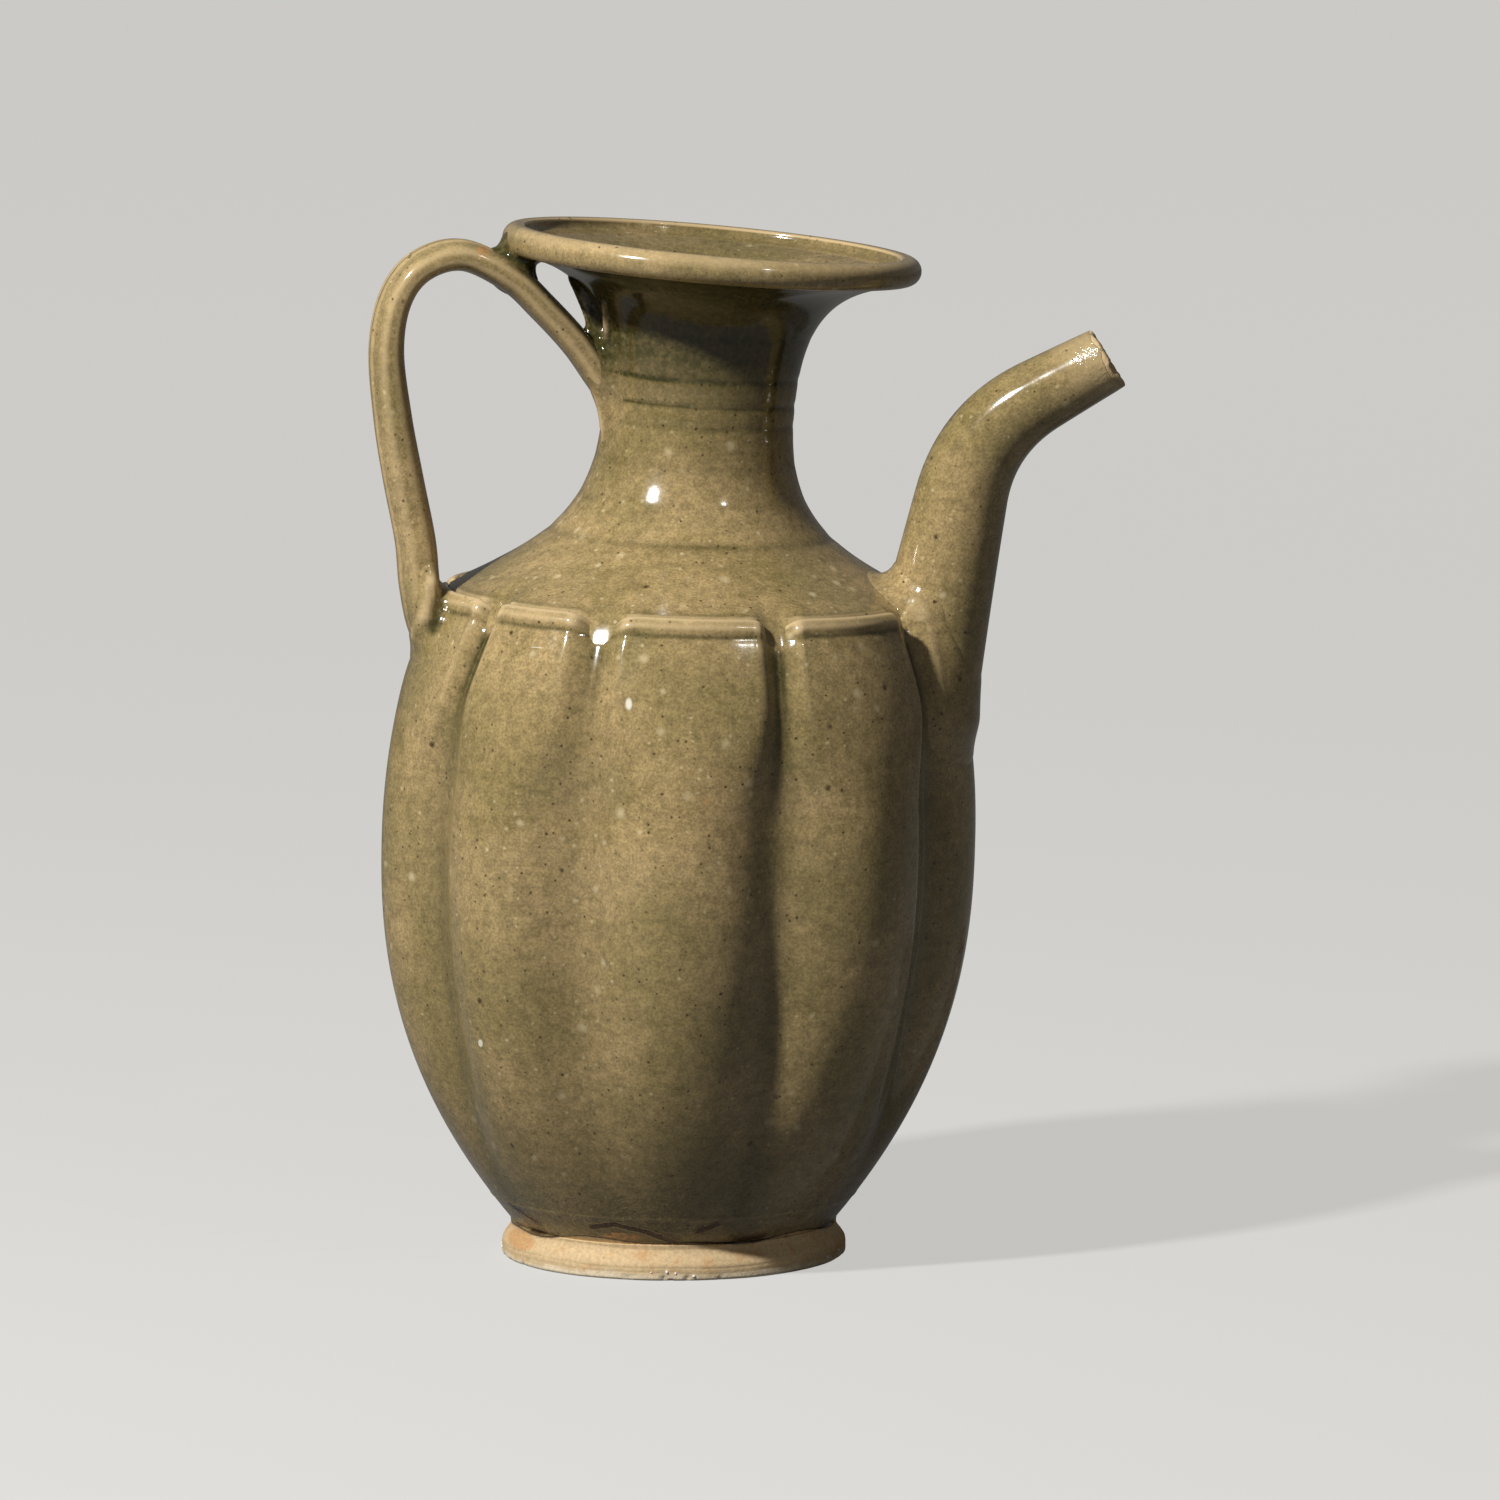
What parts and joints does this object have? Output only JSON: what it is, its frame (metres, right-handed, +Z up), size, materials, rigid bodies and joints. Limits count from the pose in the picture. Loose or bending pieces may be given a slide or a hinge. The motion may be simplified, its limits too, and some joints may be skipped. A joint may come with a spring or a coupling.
{
  "type": "ewer",
  "caption": "Lobed stoneware pouring ewer with a dish mouth on a waisted neck, a bent spout, a ribbed strap handle and a bare foot ring.",
  "frame": {"origin": "under the middle of the whole ewer's box, on the surface that it stands on", "axes": "+Z up; the spout points towards +X and 10 degrees towards -Y; the front, between handle and spout, faces -Y"},
  "size_m": [0.1584, 0.1246, 0.2177],
  "materials": {
    "celadon_glaze": "gloss",
    "pooled_glaze": "gloss",
    "bare_stoneware": "matte"
  },
  "bodies": {
    "root": {"foot_ring": "bare_stoneware", "lobed_body": "celadon_glaze", "shoulder": "celadon_glaze", "neck": "pooled_glaze", "dish_mouth": "pooled_glaze", "spout": "celadon_glaze", "handle": "celadon_glaze", "spout_lute": "celadon_glaze", "handle_neck_lute": "celadon_glaze", "handle_root_lute": "celadon_glaze", "rim_pad": "celadon_glaze"}
  },
  "joints": []
}
